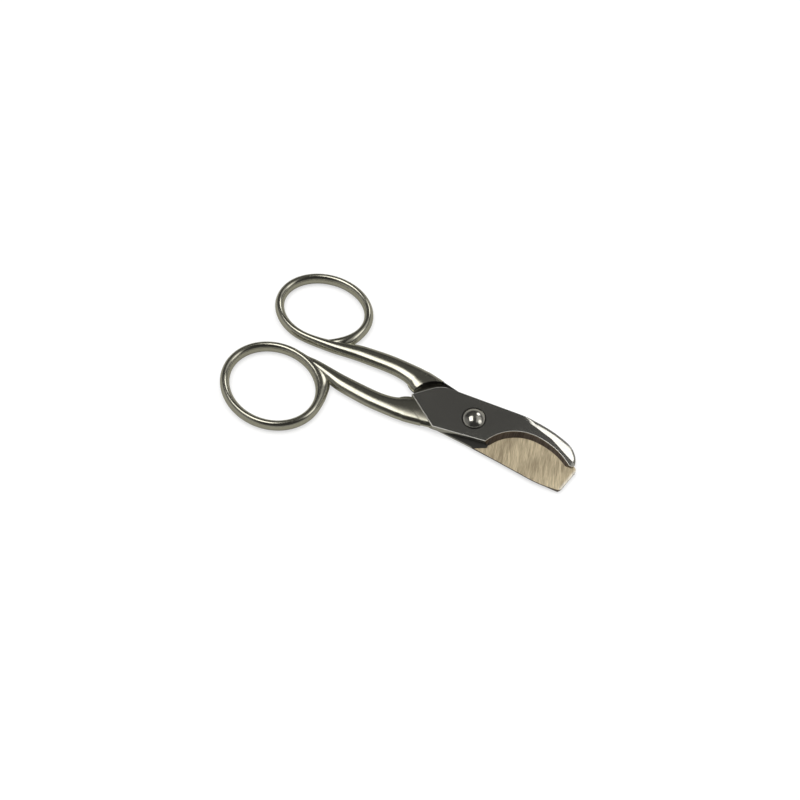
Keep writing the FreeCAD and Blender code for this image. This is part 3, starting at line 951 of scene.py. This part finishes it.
# behind this x the inner face is painted black as shade
INNER_SHADE_TO = -9.8
back_x = stations_between(-20.9, float(back_upper[-1, 0]), back_upper, back_lower,
                          np.array([[32.0 + 0.06 * i, 0] for i in range(28)]))
back_points, back_edges = closed_sections(back_x, back_section)
back_blade = skin("back_blade", back_points, {"edge": back_edges},
                  [ground_face, buffed_flat, painted_shade_black, dark_ground_bevel], slot=1)
for face in back_blade.polygons:
    centre = face.center / MM
    # faces on the back blade's lower side get the ground steel painted dark, as a painted dark reflection
    if face.normal.y < -0.7 and centre.x > 3.0:
        face.material_index = 3
    # the inner face is ground steel, and behind the rivet it is painted black as shade
    if face.index % len(back_edges[0]) >= INNER_STEP and centre.z > BACK_FACE - 0.2:
        face.material_index = 0 if centre.x > INNER_SHADE_TO else 2
print("back blade has", len(back_x), "sections")

# %% Set the two halves down as pieces
piece("front_scissor_half", [front_blade, *bars["front"]], "front", "front_half", "front_half")
piece("back_scissor_half", [back_blade, *bars["back"]], "back", "back_half", "back_half")

# %% [markdown]
# ## The rivet
# The rivet is turned: a low dome with a small upright rim, a plain shank and a tail hammered
# flush. A turned part is a profile spun round its axis, so the profile is drawn once.

# %% Turn the rivet
RIM_RADIUS = 3.3
SEAT = TOP_FACE + 0.03
RIM_HEIGHT = 0.35
CROWN = rivet_crown
DOME_SHARE = 0.965  # the dome stops just short of the rim, which rounds the corner between them
TURNS = 96


def rivet_profile():
    """(radius, height, edge) from the crown down to the tail; edge places a painted highlight."""
    cap = CROWN - SEAT - RIM_HEIGHT
    ball = (RIM_RADIUS ** 2 + cap ** 2) / (2 * cap)
    steepest = math.asin(RIM_RADIUS / ball)
    dome = [(ball * math.sin(angle), CROWN - ball * (1 - math.cos(angle)), 0.0)
            for angle in np.linspace(0, steepest * DOME_SHARE, 22)]
    rim_top = SEAT + RIM_HEIGHT
    rim = [(RIM_RADIUS - 0.03, rim_top + 0.02, 0.2), (RIM_RADIUS, rim_top - 0.06, 0.2),
           (RIM_RADIUS, SEAT + 0.12, 0.2), (RIM_RADIUS - 0.05, SEAT + 0.02, 0.0),
           (RIM_RADIUS - 0.2, SEAT - 0.02, 0.0)]
    tail = [(1.7, SEAT - 0.02, 0), (1.7, 0.8, 0), (2.46, 0.02, 0.4),
            (2.38, -0.015, 0.4), (1.4, -0.03, 0), (0.0, -0.03, 0)]
    return dome + rim + tail


profile = rivet_profile()
around = [2 * math.pi * step / TURNS for step in range(TURNS)]
rings = [[(r * math.cos(angle), r * math.sin(angle), z) for angle in around] for r, z, _ in profile]
edges = [[edge] * TURNS for *_, edge in profile]
rivet_mesh = skin("rivet", rings, {"edge": edges}, [rivet_metal])
piece("domed_rivet", [rivet_mesh], "back", "pivot_rivet", "rivet")

# %% [markdown]
# ## Stage, light and camera
# Polished metal shows the room more than itself. One broad soft box hangs over the left side,
# a weaker panel hangs over the right, two small lamps are ahead and at the right, and the rest
# of the room is dim, so the flats go dark and the rounded bars get one clean bright line. The
# lights are painted into the world with soft ends, and a lamp that metal doesn't mirror keeps
# the pale floor bright. The floor also glows where the camera sees it, so the shadow under the
# part stays faint, while metal mirrors a darker floor.

# %% Floor
FLOOR_GAP = 0.00006  # metres under the rest plane
bpy.ops.mesh.primitive_plane_add(size=6.0, location=(0, 0, -FLOOR_GAP))
floor = bpy.context.object
floor.name = "floor"
paper = bpy.data.materials.new("pale floor")
paper.use_nodes = True
sheet = paper.node_tree
sheet.nodes.clear()
GLARE_SHARE = 0.6
lit = node(sheet, "ShaderNodeBsdfDiffuse", {"Color": (0.93, 0.93, 0.93, 1)})
glare = node(sheet, "ShaderNodeEmission", {"Color": (1.0, 1.0, 1.0, 1), "Strength": 1.0})
seen = node(sheet, "ShaderNodeMixShader", {0: GLARE_SHARE, 1: lit.outputs[0], 2: glare.outputs[0]})
mirrored = node(sheet, "ShaderNodeBsdfDiffuse", {"Color": (0.31, 0.305, 0.27, 1)})
path_kind = node(sheet, "ShaderNodeLightPath")
mixed = node(sheet, "ShaderNodeMixShader", {
    0: path_kind.outputs["Is Glossy Ray"], 1: seen.outputs[0], 2: mirrored.outputs[0],
})
node(sheet, "ShaderNodeOutputMaterial", {"Surface": mixed.outputs[0]})
floor.data.materials.append(paper)
print("floor is", tuple(floor.dimensions)[:2], "m")

# %% Room light
AZIMUTH = math.radians(26.8)  # the camera's turn round the part; the lights keep to its view
RIGHT = Vector((math.cos(AZIMUTH), math.sin(AZIMUTH), 0))
AWAY = Vector((-math.sin(AZIMUTH), math.cos(AZIMUTH), 0))
room = bpy.data.worlds.new("soft room")
room.use_nodes = True
bpy.context.scene.world = room
sky = room.node_tree
sky.nodes.clear()
looking = node(sky, "ShaderNodeTexCoord").outputs["Generated"]


def toward(direction):
    return vector_maths(sky, "DOT_PRODUCT", looking, tuple(direction), result="Value")


height = maths(sky, "MAXIMUM", toward((0, 0, 1)), 0.02)
rightward = maths(sky, "DIVIDE", toward(RIGHT), height)
forward = maths(sky, "DIVIDE", toward(AWAY), height)


def panel(across, along, blur=0.06):
    """A soft-edged rectangle on the ceiling; the ranges are distances over height."""
    together = None
    for distance, (near, far) in ((rightward, across), (forward, along)):
        rising = eased(sky, distance, near - blur, near + blur)
        falling = eased(sky, distance, far - blur, far + blur, 1.0, 0.0)
        together = maths(sky, "MULTIPLY", together, rising) if together else rising
        together = maths(sky, "MULTIPLY", together, falling)
    return together


def glow(azimuth, elevation, inner, outer):
    """A round soft light; azimuth is 0 straight ahead and 90 at the right, and the sizes are
    half angles, all in degrees."""
    azimuth, elevation, inner, outer = (math.radians(angle) for angle in (azimuth, elevation, inner, outer))
    way = (RIGHT * math.sin(azimuth) + AWAY * math.cos(azimuth)) * math.cos(elevation)
    way += Vector((0, 0, math.sin(elevation)))
    return eased(sky, toward(way), math.cos(outer), math.cos(inner))


lights = [
    (panel((-0.66, -0.15), (-0.26, 0.42)), 2.3),  # the broad soft box
    (panel((0.36, 1.6), (-0.5, 0.6), 0.12), 0.38),  # the weaker panel at the right
    (glow(38, 34, 7, 13), 2.2),  # the small lamp ahead, a little to the right
    (glow(108, 38, 9, 18), 1.1),  # the small lamp at the right
    (glow(0, 60, 16, 38), 0.045),  # a faint lift for the flats
    (eased(sky, toward((0, 0, 1)), 0.12, 0.36, 1.0, 0.0), 0.24),  # pale walls near the floor
    (glow(-100, 12, 20, 50), 0.16),  # brighter wall at the left
    (glow(75, 12, 20, 50), 0.08),  # and at the right
]
strength = 0.04  # the dim rest of the room
for shape, power in lights:
    strength = maths(sky, "MULTIPLY_ADD", shape, power, strength)
pale = node(sky, "ShaderNodeLightPath").outputs["Is Camera Ray"]
strength = node(sky, "ShaderNodeMix", {0: pale, 2: strength, 3: 1.0}).outputs[0]
background = node(sky, "ShaderNodeBackground", {"Color": (1.0, 0.985, 0.95, 1), "Strength": strength})
node(sky, "ShaderNodeOutputWorld", {"Surface": background.outputs[0]})
overhead = bpy.data.lights.new("overhead", "AREA")
overhead.shape = "DISK"
overhead.size = 1.2
overhead.energy = 15.0
lamp = bpy.data.objects.new("overhead", overhead)
lamp.location = (0.0, 0.0, 1.2)
lamp.visible_glossy = False
bpy.context.scene.collection.objects.link(lamp)
print("room light set")

# %% Camera
ELEVATION = math.radians(60.0)
DISTANCE = 0.310
TARGET = Vector((-0.02314, -0.00331, 0.00203))
back_way = -AWAY * math.cos(ELEVATION) + Vector((0, 0, math.sin(ELEVATION)))
lens = bpy.data.cameras.new("camera")
lens.sensor_width = 36.0
lens.lens = 45.74
lens.clip_start = 0.01
lens.clip_end = 20.0
camera = bpy.data.objects.new("camera", lens)
camera.location = TARGET + back_way * DISTANCE
camera.rotation_mode = "QUATERNION"
camera.rotation_quaternion = (-back_way).to_track_quat("-Z", "Y")
bpy.context.scene.collection.objects.link(camera)
bpy.context.scene.camera = camera
bpy.context.scene.view_settings.view_transform = "Standard"
bpy.context.scene.view_settings.look = "None"
print("camera at", [round(value / MM, 1) for value in camera.location], "mm")
